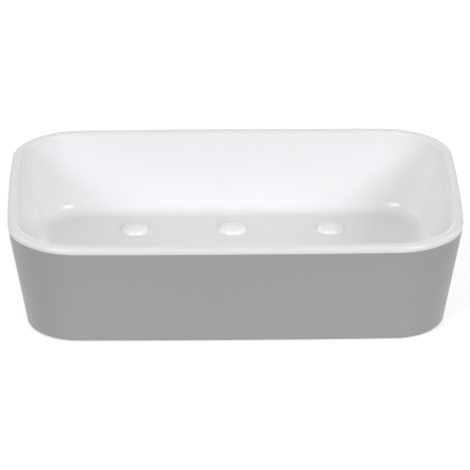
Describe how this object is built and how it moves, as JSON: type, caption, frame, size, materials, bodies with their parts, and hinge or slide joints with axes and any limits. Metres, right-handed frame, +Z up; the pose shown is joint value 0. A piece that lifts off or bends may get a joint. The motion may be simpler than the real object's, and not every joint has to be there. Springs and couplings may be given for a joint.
{
  "type": "soap dish",
  "caption": "Low rounded-rectangular soap dish with sloping walls: a satin outer shell, a glossy inner tray with a flush lip and small domes that keep the bar off the wet floor.",
  "frame": {"origin": "on the table under the middle of the dish, in the plane of the four feet", "axes": "+X along the dish's length, +Y from its front to its rear, +Z up"},
  "size_m": [0.13, 0.0864, 0.0316],
  "materials": {
    "grey_shell": "satin",
    "white_tray": "gloss",
    "soft_foot": "matte"
  },
  "bodies": {
    "root": {"outer_shell": "grey_shell", "inner_tray": "white_tray", "foot_front_left": "soft_foot", "foot_front_right": "soft_foot", "foot_rear_left": "soft_foot", "foot_rear_right": "soft_foot"}
  },
  "joints": []
}
